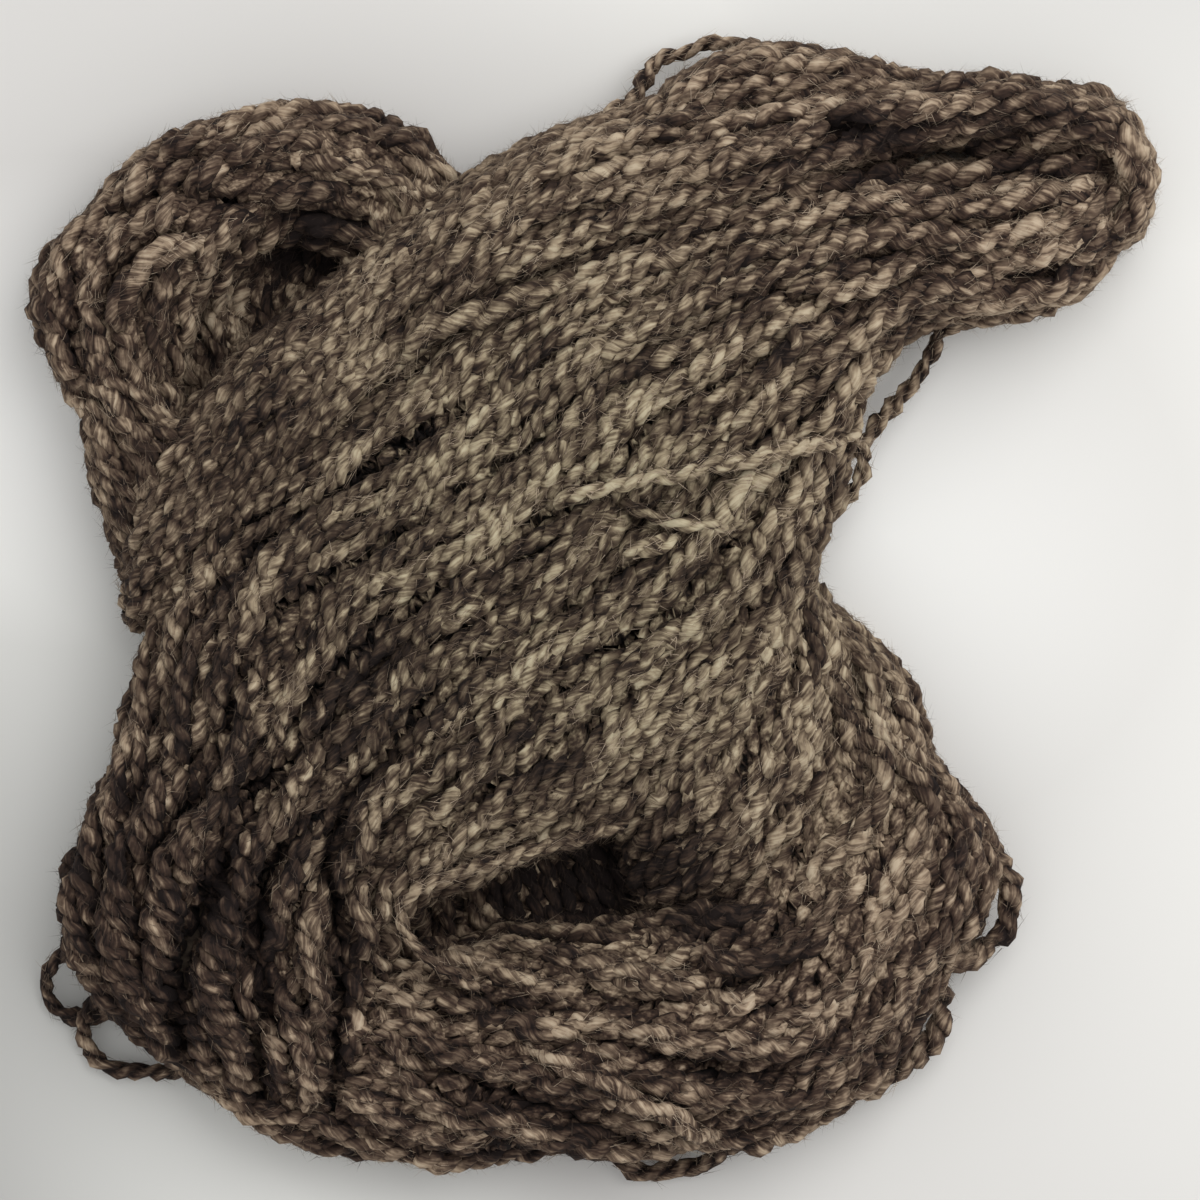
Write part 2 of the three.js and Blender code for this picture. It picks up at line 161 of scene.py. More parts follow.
# Strands that lie over the rest: how thick, how loosely twisted, how pale, and the way seen from above,
# with the least height where it spans a gap
OVER = {
    "pocket_edge": (0.72, 1.0, 1.4, [
        (6, -42.6, 32), (-6.8, -46, 36), (-18.8, -49.4, 36), (-30.8, -53.6, 34), (-38, -58, 32),
        (-37.6, -63, 31), (-32.8, -68.6, 33), (-23, -75, 35),
    ]),
    "shallow": (0.78, 1.1, 0.6, [
        (-9, 20.6), (-4, 22.6), (5.2, 24.6), (21.2, 27.8), (37.2, 31.2), (52, 34.4),
    ]),
    "split_end": (0.6, 1.2, 1.2, [(5, 22), (8.6, 19.8), (13, 18), (20, 16.4), (29, 17)]),
    "slub_far": (1.3, 2.4, 1.4, [(-40, 49), (-32.8, 54.4), (-24.8, 57.8), (-14.8, 61), (-4, 65)]),
    "slub_lobe": (1.3, 2.4, 1.2, [
        (-94, 55), (-93.6, 60), (-91.6, 65), (-87.6, 69.6), (-82, 72.6), (-76, 74),
    ]),
    "slub_low": (1.1, 2.2, 1.2, [(-14, -86), (-4, -90.6), (6, -95.6), (16, -101), (24, -105)]),
    "slub_middle": (0.95, 2.0, 0.8, [(5.4, 10.4), (8.6, 11.8), (12, 12.8), (17, 13.8)]),
}

# Hollows pressed into the strands: x, y, radius and depth
DENTS = [(5.4, 19.6, 3.2, 4.5), (9.8, 17, 3, 3.5), (14, 16.4, 2.5, 1.5)]

# Creases pressed along the strands, with painted shade along them: half width, depth, and the way seen
# from above
CREASES = {
    "right_top": (2.4, 8, [(47, 95), (55, 94), (61, 92.6), (67, 91.8), (73, 92.6), (78, 94), (83, 96.2)]),
    "right_tip": (1.5, 5, [(83, 96.2), (91, 97), (97, 96.2), (104, 94)]),
    "right_middle": (1.6, 4.5, [
        (54, 85), (65, 84.6), (71, 84), (76, 84.6), (82, 86), (91, 86.4), (102, 86),
    ]),
    "right_even": (1.3, 3, [(51, 75), (61, 76.4), (71, 76.4), (77, 75), (84, 78), (92, 78.4)]),
    "right_low": (1.7, 4.5, [
        (54, 69), (59, 70.4), (65, 70), (71, 68.6), (81, 67.4), (91, 67), (96, 69.6), (103, 74),
    ]),
    "right_edge": (1.5, 3, [(36, 62.6), (44, 60), (52, 58.4)]),
    "lobe_far": (1.4, 3, [(-88, 87), (-83, 89), (-76, 90), (-71, 88), (-65, 86.6), (-59, 87)]),
    "lobe_outer": (1.9, 5, [
        (-95, 79), (-91, 80.4), (-85, 82.6), (-79, 82.4), (-69, 81), (-64, 79.6), (-58, 79.6), (-52, 78),
        (-46, 77),
    ]),
    "lobe_side": (1.6, 4, [(-97, 62), (-96, 67), (-93, 69.4), (-90, 72), (-86, 74), (-80, 75)]),
    "lobe_low": (1.4, 3, [(-101, 61), (-103, 56), (-104, 52), (-102, 46), (-99, 42)]),
    "rope_1": (2.3, 9, [
        (-72.4, -49), (-74.4, -54), (-77, -59), (-79.4, -65), (-81.8, -71), (-82.6, -78), (-82, -87),
    ]),
    "rope_2": (2.1, 8, [
        (-62, -48), (-64.8, -54), (-66, -60), (-66.4, -70), (-66.4, -80), (-67, -90), (-66.6, -97),
    ]),
    "rope_3": (2.1, 8, [
        (-50.6, -43), (-53, -50), (-52, -58), (-50.4, -68), (-50.8, -78), (-51.2, -88), (-51.8, -96),
    ]),
    "rope_4": (1.5, 4, [(-50, -20), (-55, -25), (-59, -29), (-63.8, -33), (-66.4, -36), (-68.4, -44)]),
    "rope_5": (1.5, 4, [(-34, -26), (-39, -29), (-45, -33), (-48, -36), (-50, -41)]),
    "rope_6": (1.4, 3.4, [
        (-67.8, -34), (-73.8, -36), (-79.8, -38.4), (-83, -42), (-86, -46), (-89, -50),
    ]),
    "rope_7": (1.3, 3, [(-69, -21), (-74, -24.6), (-78, -27), (-84, -33)]),
    "low_1": (1.6, 4.5, [(-4, -85), (8, -87), (18, -89.4), (28, -91.6), (38, -91)]),
    "low_2": (1.5, 4, [(-34, -90), (-22, -94), (-10, -98), (2, -103), (10, -107)]),
    "low_3": (1.5, 4, [(-30, -80), (-18, -80), (-4, -78.6), (10, -77.6), (24, -76), (38, -70)]),
    "low_4": (1.3, 3, [(-44, -84), (-36, -92), (-26, -100), (-16, -105)]),
    "middle_1": (1.4, 2.4, [(-46, -13), (-34, -7), (-22, -1.6), (-14, 4)]),
    "middle_2": (1.4, 2.2, [(-16, -18), (-8, -13), (0, -9.6), (8, -6.6)]),
    "top_1": (1.5, 2.4, [(-22, 62), (-10, 67), (0, 70.4), (14, 74)]),
}
ASIDE = 0.45  # how far a crease pushes the strands beside it away, in its half widths
LEAST_GAP = 0.6  # nearer than which the push no longer grows
WAY_ROWS = 60  # samples along a crease, and along a single strand

# Painted shade and tone by place: darker in the hollows, the pocket, the dents and toward the lower left,
# and elsewhere darker or paler by region: x, y, radius and change of tone
PAINTED_SHADE_AND_TONE = [
    (-92, -64, 36, -3.6), (-60, -72, 28, 0.1), (-10, -98, 34, -0.9), (40, -92, 28, -0.2),
    (88, 104, 26, -0.2), (-95, 50, 30, -0.3), (-60, 20, 34, -2.0), (28, 32, 24, 1.4),
    (46, -34, 40, 0.7), (80, 74, 34, 0.8),
    (96, 70, 22, 1), (111, 88, 10, 2), (-84, 82, 30, 0.7), (78, 104, 22, -0.3), (-22, 26, 26, 2.0),
    (4, 78, 26, 0.8), (-56, 75, 7, -5), (-66, 65, 5, -3), (-64, 57, 3.5, -4), (-78, 53, 3.5, -3),
    (4, -50, 9, -6), (20, -58, 10, -6), (31, -64, 8, -4), (14, -36, 8, -3.4), (4, -76, 22, 0.8),
    (-84, -34, 16, -1), (5, 19.8, 3, -6), (10, 16.8, 2.8, -5), (86, 104, 12, -0.4), (-30, -16, 26, -0.6),
    (-44, -13, 9, -2), (64, 54.5, 5.5, -4), (10, -4, 16, 1),
]
# Painted shade where the bed of the hollows is darker still, or with a minus sign paler
BED_PAINTED_SHADE_PLACES = [(-10, -58, 26, 7), (-60, 72, 10, 6), (-75, 58, 10, -2.5)]

# Where the yarn is thicker or thinner: x, y, radius and change of width
SWELLS = [
    (98, 82, 26, 0.12), (66, 84, 34, 0.15), (-92, 74, 34, 0.13), (-62, 88, 24, 0.08),
    (-45, 30, 34, -0.06), (60, -30, 34, 0.08), (20, -92, 40, 0.08),
]

# The slow random waves along a strand: how far each reaches, and about how long it is in millimetres
WAVES = {
    "beside": (0.5, 11), "outward": (0.45, 8), "thick": (0.13, 30), "slub": (1, 24), "twist": (0.3, 16),
    "phase": (0.4, 7), "ply": (0.17, 5), "tone": (2, 26), "loose": (1, 38), "furrow": (0.6, 45),
    "height": (0.6, 60), "shade": (1.2, 40), "rope": (0.15, 50), "drift": (0.12, 36),
    "depth": (0.45, 30), "wander": (1.2, 110), "under": (0.15, 70),
}
WAVE_PARTS, WAVE_SPANS = 4, (0.7, 1.9)  # sines in a wave, and how much longer or shorter they are
WAVE_SCALE = 1.4  # brings their sum to about -1 to 1


# Curves and sections

def unit(vectors):
    return vectors / np.maximum(np.linalg.norm(vectors, axis=-1, keepdims=True), 1e-9)


def smooth_curve(points, count):
    """A centripetal curve through the points, at even shares of its rows as in the solids."""
    points = np.asarray(points, float)
    padded = np.vstack([2 * points[0] - points[1], points, 2 * points[-1] - points[-2]])
    place = np.linspace(0, len(points) - 1, count)
    row = np.minimum(place.astype(int), len(points) - 2)
    p0, p1, p2, p3 = (padded[row + k] for k in range(4))
    d0, d1, d2 = (
        np.linalg.norm(b - a, axis=1, keepdims=True) ** 0.5 for a, b in ((p0, p1), (p1, p2), (p2, p3))
    )
    start = ((p1 - p0) / d0 - (p2 - p0) / (d0 + d1) + (p2 - p1) / d1) * d1
    end = ((p2 - p1) / d1 - (p3 - p1) / (d1 + d2) + (p3 - p2) / d2) * d1
    t = (place - row)[:, None]
    squared = 3 * (p2 - p1) - 2 * start - end
    cubed = 2 * (p1 - p2) + start + end
    return p1 + t * (start + t * (squared + t * cubed))


def outline(angle):
    """The unit outline of a section, at an angle from edge b over the top."""
    fullness = 2 / SQUARENESS
    across, up = np.cos(angle), np.sin(angle)
    return np.sign(across) * np.abs(across) ** fullness, np.sign(up) * np.abs(up) ** fullness


class Bundle:
    """A bundle's sections, sampled closely, and the way to a point on any of them."""

    SAMPLES = 140
    TURN_STEPS = 96
    SHARE_STEPS = 256
    LEAST_SHARE = 0.3  # of a section's size that an inset leaves

    def __init__(self, rows):
        rows = np.array([(*row, *USUAL[len(row) - LAY:]) for row in rows], float)
        a = smooth_curve(rows[:, [AX, AY, LOW]], self.SAMPLES)
        b = smooth_curve(rows[:, [BX, BY, HIGH]], self.SAMPLES)
        width = np.linalg.norm((b - a)[:, :2], axis=1)
        self.middle = (a + b) / 2
        self.across = unit((b - a) * (1, 1, 0))
        self.half_width = width / 2
        self.half_height = (b - a)[:, 2] / 2
        shares = np.linspace(0, len(rows) - 1, self.SAMPLES)
        self.lay = np.interp(shares, np.arange(len(rows)), rows[:, LAY])
        self.furrow = np.interp(shares, np.arange(len(rows)), rows[:, FURROW])
        turns = np.linspace(0, 2 * np.pi, self.TURN_STEPS + 1)
        x, y = outline(turns)
        steps = np.hypot(
            np.diff(x)[None, :] * self.half_width[:, None],
            np.diff(y)[None, :] * self.half_height[:, None],
        )
        lengths = np.hstack([np.zeros((self.SAMPLES, 1)), np.cumsum(steps, axis=1)])
        girth = lengths[:, -1]
        self.strand_count = int(round(np.percentile(girth, 95) / PITCH))
        self.pitch = girth / self.strand_count
        self.run = np.linspace(0, 1, self.SAMPLES) * np.sum(
            np.linalg.norm(np.diff(self.middle, axis=0), axis=1)
        )
        grid = np.linspace(0, 1, self.SHARE_STEPS + 1)
        self.angles = np.array([np.interp(grid * row[-1], row, turns) for row in lengths])

    def place(self, share, inset):
        """Points at a share of the way round each section, inset from it, and their outward way."""
        share = share + self.lay
        share = (share - np.floor(share)) * self.SHARE_STEPS
        low = np.minimum(share.astype(int), self.SHARE_STEPS - 1)
        row = np.arange(self.SAMPLES)
        within = share - low
        angle = self.angles[row, low] * (1 - within) + self.angles[row, low + 1] * within
        x, y = outline(angle)
        wide = np.maximum(self.half_width - inset, self.LEAST_SHARE * self.half_width)
        tall = np.maximum(self.half_height - inset, self.LEAST_SHARE * self.half_height)
        points = self.middle + self.across * (x * wide)[:, None] + UP * (y * tall)[:, None]
        outward = self.across * (x * tall)[:, None] + UP * (y * wide)[:, None]
        return points, unit(outward)


# Slow random waves

def wave(rng, length, name):
    """A smooth random line along a strand, as its row of the table says."""
    reach, span = WAVES[name]
    total = np.zeros_like(length)
    for _ in range(WAVE_PARTS):
        total += np.sin(2 * np.pi * length / (span * rng.uniform(*WAVE_SPANS)) + rng.uniform(0, 2 * np.pi))
    return reach * (total / WAVE_PARTS ** 0.5 / WAVE_SCALE)


# Strands

STEP = 1.1  # between a strand's samples
FINE, SIDE, COARSE, HIDDEN = 3, 2, 1, 0
FACING_START, FACING_RISE = 0.2, 0.4  # how far up a strand has to face before creases press it
LOWEST = 0.95 * YARN_RADIUS  # of a strand's middle over the table
WIDTHS = (0.7, 1.22)  # least and most width, as shares of the yarn's
# Where a slub starts, and how much wider, more loosely twisted and paler it is
SLUB_START, SLUB_WIDTH, SLUB_TWIST, SLUB_TONE = 0.35, 0.36, 1.1, 2.2
SWELL_TWIST = 4  # how much more loosely thick yarn is twisted
OWN_TONE, OWN_TONES = 1.2, 1.8  # spread of the strands' own tones, and where it is cut off
CREASE_PAINTED_SHADE, DEEP_PAINTED_SHADE = 0.45, 0.06  # painted shade in a crease, by its depth and its square
DARKEST = -7
FIBRE_STARTS = 900  # how far apart the strands may be on the pattern of their fibres
LUMP_COLUMNS = 6  # at least as many as a tube has sides


class Strand:
    """The middle of one yarn at even steps, its outward way, its width and the turn of its plies."""

    def __init__(self, rng, points, outward, width=1.0, slubs=1.0, twist=1.0, sunk=0.0):
        points = np.asarray(points, float)
        gaps = np.linalg.norm(np.diff(points, axis=0), axis=1)
        along = np.concatenate([[0], np.cumsum(gaps)])
        count = max(int(along[-1] / STEP), 4)
        self.length = np.linspace(0, along[-1], count)
        step = self.length[1]
        self.points = np.stack([np.interp(self.length, along, points[:, k]) for k in range(3)], axis=1)
        way = np.stack([np.interp(self.length, along, outward[:, k]) for k in range(3)], axis=1)
        self.frame(way)
        self.points += wave(rng, self.length, "beside")[:, None] * self.beside
        self.points += wave(rng, self.length, "outward")[:, None] * self.outward
        creased, aside = self.creases()
        facing = np.clip((self.outward[:, 2] - FACING_START) / FACING_RISE, 0, 1)
        pressed = (self.near(DENTS) + creased) * facing
        self.points += aside * facing[:, None]
        self.points[:, 2] -= pressed
        self.sunk = pressed + np.interp(self.length, along, np.broadcast_to(sunk, along.shape))
        self.points[:, 2] = np.maximum(self.points[:, 2], LOWEST)
        self.frame(way)
        thick = wave(rng, self.length, "thick")
        lumps = np.clip(wave(rng, self.length, "slub") - SLUB_START, 0, None)
        swell = self.near(SWELLS)
        self.width = width * (1 + swell) * np.clip(1 + thick + SLUB_WIDTH * slubs * lumps, *WIDTHS)
        loose = np.exp(wave(rng, self.length, "twist") + SLUB_TWIST * slubs * lumps)
        turn = PLY_TURN * twist * (1 + SWELL_TWIST * swell) * loose
        self.phase = rng.uniform(0, 2 * np.pi) - np.cumsum(2 * np.pi / turn) * step
        self.phase += wave(rng, self.length, "phase")
        self.uneven = [1 + wave(rng, self.length, "ply") for _ in range(2)]
        # The strand's own tone and its slow waves, with the painted shade and tone by place
        own = OWN_TONE * np.clip(rng.normal(), -OWN_TONES, OWN_TONES)
        self.tone = own + wave(rng, self.length, "tone") + self.near(PAINTED_SHADE_AND_TONE)
        # Painted shade in the creases, on strands that don't face down
        shaded = (CREASE_PAINTED_SHADE * creased + DEEP_PAINTED_SHADE * creased ** 2) * (self.outward[:, 2] > -FACING_START)
        self.tone += SLUB_TONE * slubs * lumps - shaded
        self.tone = np.maximum(self.tone, DARKEST)
        self.start = rng.uniform(0, FIBRE_STARTS)
        self.lumps = rng.normal(0, 1, (2, count, LUMP_COLUMNS))
        self.detail = np.full(count, FINE)
        self.buried = False

    def shares(self):
        return self.length / self.length[-1]

    def near(self, places):
        """The sum of what the rows of places say, each within about its radius."""
        total = np.zeros(len(self.points))
        for x, y, radius, amount in places:
            total += amount * np.exp(-np.sum((self.points[:, :2] - (x, y)) ** 2, axis=1) / radius ** 2)
        return total

    def creases(self):
        """How deep the creases press the strand at each of its points, and how far they push it aside."""
        depths = np.zeros(len(self.points))
        aside = np.zeros_like(self.points)
        for reach, depth, points in CREASES.values():
            line = smooth_curve(points, WAY_ROWS)
            ways = self.points[:, None, :2] - line[None]
            gaps = np.linalg.norm(ways, axis=2)
            nearest = gaps.argmin(axis=1)
            rows = np.arange(len(self.points))
            gap = gaps[rows, nearest]
            depths = np.maximum(depths, depth * np.exp(-(gap / reach) ** 2))
            push = ASIDE * reach * np.exp(-(gap / (2 * reach)) ** 2) / np.maximum(gap, LEAST_GAP)
            aside[:, :2] += push[:, None] * ways[rows, nearest]
        return depths, aside

    def frame(self, way):
        self.tangent = unit(np.gradient(self.points, axis=0))
        self.outward = unit(way - self.tangent * np.sum(way * self.tangent, axis=1, keepdims=True))
        self.beside = np.cross(self.tangent, self.outward)


def crowded_inset(index, pitch):
    """How far a strand sinks below its neighbours where the girth is too short for all of them."""
    beside = np.sqrt(np.clip(CLOSE ** 2 - pitch ** 2, 0, None))
    beyond = np.sqrt(np.clip(CLOSE ** 2 - 4 * pitch ** 2, 0, None))
    return beside * (index % 2) + beyond * (index // 2 % 2)


GROUPS = (3, 4, 4, 5)  # strands that keep together, with a furrow on either side
SLACK, FURROW_SLACK = 0.2, 0.13  # how far one keeps from the last, and by the square of a furrow's depth
GROUP_DEPTH = 0.5  # how deep a group lies
ROPE_START, ROPE_RISE = 1.1, 2.2  # depth of furrow past which a group is wound into a rope
ROPE_TURN = 34  # along a group, for one turn of its strands round each other
ROPE_REACH, ROPE_DEPTH = 0.3, 0.75  # how far its middles reach to its sides and up and down, in pitches
ROPE_LOW = 0.8  # how far below the outline a rope's middle keeps, in those depths
ROPE_CLOSE = 0.7  # share of the crowding that a wound rope makes up for
EDGE_DEPTH, EDGE_POWER = 0.3, 1.7  # how deep a flat group's edges lie, by its furrow's depth
HIGHEST = 0.8  # above the outline that a strand may lie
CROSSING = 0.05  # share of the strands that wander over their neighbours
CROSSING_LIFT = 0.45 * YARN


def bundle_strands(rng, bundle):
    """Yarn laid round a bundle in small groups, closer or looser from place to place."""
    count = bundle.strand_count
    pitch = bundle.pitch
    run = bundle.run
    groups = []
    while sum(groups) < count:
        groups.append(min(int(rng.choice(GROUPS)), count - sum(groups)))
    firsts = set(np.cumsum([0] + groups))
    spacing = []
    for index in range(count):
        slack = SLACK * np.clip(wave(rng, run, "loose"), 0, 1)
        if index in firsts:
            slack = slack + FURROW_SLACK * bundle.furrow ** 2 / pitch * (1 + wave(rng, run, "furrow"))
        spacing.append(1 + slack)
    reached = np.cumsum(spacing, axis=0) - spacing[0]
    total = np.sum(spacing, axis=0)
    wound = np.clip((bundle.furrow - ROPE_START) / ROPE_RISE, 0, 1)
    strands = []
    index = 0
    for size in groups:
        height = GROUP_DEPTH + wave(rng, run, "height")
        shade = wave(rng, run, "shade")
        turned = 2 * np.pi * (run / ROPE_TURN + wave(rng, run, "rope")) + rng.uniform(0, 2 * np.pi)
        for member in range(size):
            angle = turned + 2 * np.pi * member / size
            middle = (size - 1) / 2 - member
            alone = wave(rng, run, "drift") + wound * (middle + ROPE_REACH * size * np.cos(angle))
            at_edge = abs(middle) / max((size - 1) / 2, 1)
            flat = EDGE_DEPTH * bundle.furrow ** EDGE_POWER * at_edge
            round_rope = ROPE_DEPTH * PITCH * (ROPE_LOW - np.sin(angle))
            lower = (1 - wound) * flat + wound * round_rope + height + wave(rng, run, "depth")
            lower = np.maximum(lower, -HIGHEST)
            if rng.uniform() < CROSSING:
                wander = wave(rng, run, "wander")
                alone = alone + wander
                lower = lower - CROSSING_LIFT * np.clip(np.abs(wander), 0, 1)
            share = (reached[index] + alone) / total
            inset = YARN_RADIUS + (1 - ROPE_CLOSE * wound) * crowded_inset(index, pitch) + lower
            points, outward = bundle.place(share, inset)
            strand = Strand(rng, points, outward, sunk=lower)
            strand.tone += np.interp(strand.shares(), run / run[-1], shade)
            strands.append(strand)
            index += 1
    return strands


UNDER = 0.85 * YARN  # how much deeper the second layer lies
UNDER_WIDTH = 1.3
# Painted shade on the second layer, which lies deeper between the outer strands
UNDER_PAINTED_SHADE = -0.8
NARROWEST = 9.5  # half the width that a bundle has to have for a second layer
CROWDED = 0.6 * PITCH  # and the pitch below which there is none


def under_strands(rng, bundle):
    """The next layer down, which shows between the outer strands."""
    count = bundle.strand_count
    strands = []
    narrow = (bundle.half_width < NARROWEST) | (bundle.pitch < CROWDED)
    inset = YARN_RADIUS + UNDER + crowded_inset(1, bundle.pitch)
    for index in range(count):
        share = (index + 0.5 + wave(rng, bundle.run, "under")) / count
        points, outward = bundle.place(share, inset)
        strand = Strand(rng, points, outward, width=UNDER_WIDTH)
        strand.tone += UNDER_PAINTED_SHADE
        strand.detail[:] = COARSE
        strand.crowded = np.interp(strand.shares(), bundle.run / bundle.run[-1], narrow) > 0
        strands.append(strand)
    return strands


SHELL_LOWEST = 0.4  # over the table


def quads_round(rows, around):
    """Faces between closed rings of corners."""
    i, j = np.meshgrid(np.arange(rows - 1) * around, np.arange(around), indexing="ij")
    beside = (j + 1) % around
    return np.stack([i + j, i + around + j, i + around + beside, i + beside], axis=-1).reshape(-1, 4)


def shell(bundle, inset, around=40, every=4):
    """A bundle's closed form at an inset, as corners and faces."""
    rows = list(range(0, bundle.SAMPLES - 1, every)) + [bundle.SAMPLES - 1]
    rings = np.stack(
        [bundle.place(k / around - bundle.lay, inset)[0][rows] for k in range(around)], axis=1
    )
    corners = rings.reshape(-1, 3).copy()
    corners[:, 2] = np.maximum(corners[:, 2], SHELL_LOWEST)
    sides = quads_round(len(rows), around)[:, [0, 3, 2, 1]]
    ends = [list(range(around))[::-1], [(len(rows) - 1) * around + k for k in range(around)]]
    return corners, sides.tolist() + ends


def core_shells(bundles, depth):
    """The forms under the bundles' strands, deeper where they are crowded."""
    shells = []
    for bundle in bundles.values():
        shells.append(shell(bundle, depth + crowded_inset(1, bundle.pitch), around=32, every=6))
    return shells


def joined(shells):
    corners, faces = [], []
    for places, sides in shells:
        first = len(corners)
        corners += [tuple(place) for place in places]
        faces += [[first + k for k in side] for side in sides]
    return corners, faces


def outlooks():
    """Ways in which a strand might be seen: up, and round at two heights."""
    ways = [Vector((0, 0, 1))]
    for rise, count in ((0.9, 8), (0.15, 8)):
        for k in range(count):
            turn = 2 * np.pi * (k + rise) / count
            ways.append(Vector((np.cos(turn), np.sin(turn), rise)).normalized())
    return ways


SIGHT_STEP = 3  # samples that share one look from each way
STEEP, BELOW, UNDERNEATH = 0.15, -0.3, -0.5  # how far up a strand faces
BELOW_HEIGHT, ON_TABLE = 9, 3  # heights below which one that faces down is coarse


def mark_hidden(strands, shells, lift):
    """Marks the stretches that nothing can see past the shells, and those that only lie on the table."""
    tree = BVHTree.FromPolygons(*joined(shells))
    ways = outlooks()
    for strand in strands:
        for i in range(0, len(strand.points), SIGHT_STEP):
            place = Vector(strand.points[i] + strand.outward[i] * (lift + strand.sunk[i]))
            if all(tree.ray_cast(place, way)[0] for way in ways):
                strand.detail[i:i + SIGHT_STEP] = HIDDEN
        steep = strand.outward[:, 2] < STEEP
        low = (strand.outward[:, 2] < BELOW) & (strand.points[:, 2] < BELOW_HEIGHT)
        on_table = (strand.outward[:, 2] < UNDERNEATH) & (strand.points[:, 2] < ON_TABLE)
        strand.detail[(strand.detail == FINE) & steep] = SIDE
        strand.detail[(strand.detail == SIDE) & low] = COARSE
        strand.detail[on_table] = COARSE


def runs(detail):
    """Stretches of one level of detail, each a step longer at both ends than its own samples."""
    edges = np.flatnonzero(np.diff(detail)) + 1
    for start, end in zip([0, *edges], [*edges, len(detail)]):
        if detail[start] != HIDDEN and end - start > 1:
            yield int(detail[start]), max(start - 1, 0), min(end + 1, len(detail))


# Meshes

def put(name, data):
    thing = bpy.data.objects.new(name, data)
    bpy.context.scene.collection.objects.link(thing)
    return thing


def new_mesh(name, corners, faces, sizes):
    """A mesh from its corners in millimetres, and its faces in one row with the size of each."""
    mesh = bpy.data.meshes.new(name)
    mesh.vertices.add(len(corners))
    mesh.vertices.foreach_set("co", (corners * MM).astype(np.float32).ravel())
    mesh.loops.add(len(faces))
    mesh.loops.foreach_set("vertex_index", faces.astype(np.int32))
    mesh.polygons.add(len(sizes))
    mesh.polygons.foreach_set("loop_start", (np.cumsum(sizes) - sizes).astype(np.int32))
    return mesh


def add_values(mesh, name, values):
    kind, key = ("FLOAT", "value") if values.ndim == 1 else ("FLOAT_VECTOR", "vector")
    mesh.attributes.new(name, kind, "POINT").data.foreach_set(key, values.astype(np.float32).ravel())


def add_piece(name, mesh, material):
    """A piece of the skein, which stands for its solid."""
    mesh.materials.append(material)
    piece = put(name, mesh)
    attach(piece, "root")
    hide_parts("skein")


BAKE_ROW = 8.6  # millimetres of a bake row's height, about a ply's girth
GAP = 0.06  # share of a bake row left free at each side
ROW_END = 3  # samples left free at the end of a bake row
TUBE_GAP = 0.5  # between two tubes on a bake row
CAP = 0.3  # length of a tube's cap on a bake row
CROWDING = 0.2  # how far a tube's sides gather at its outer face, in radians
TABLE_GAP = 0.05  # of the yarn over the table
PLY_RELIEF_PAINT, YARN_RELIEF_PAINT = 0.25, 0.75  # how much each round form counts in the painted highlight and shade: paler where it stands proud, darker in the grooves
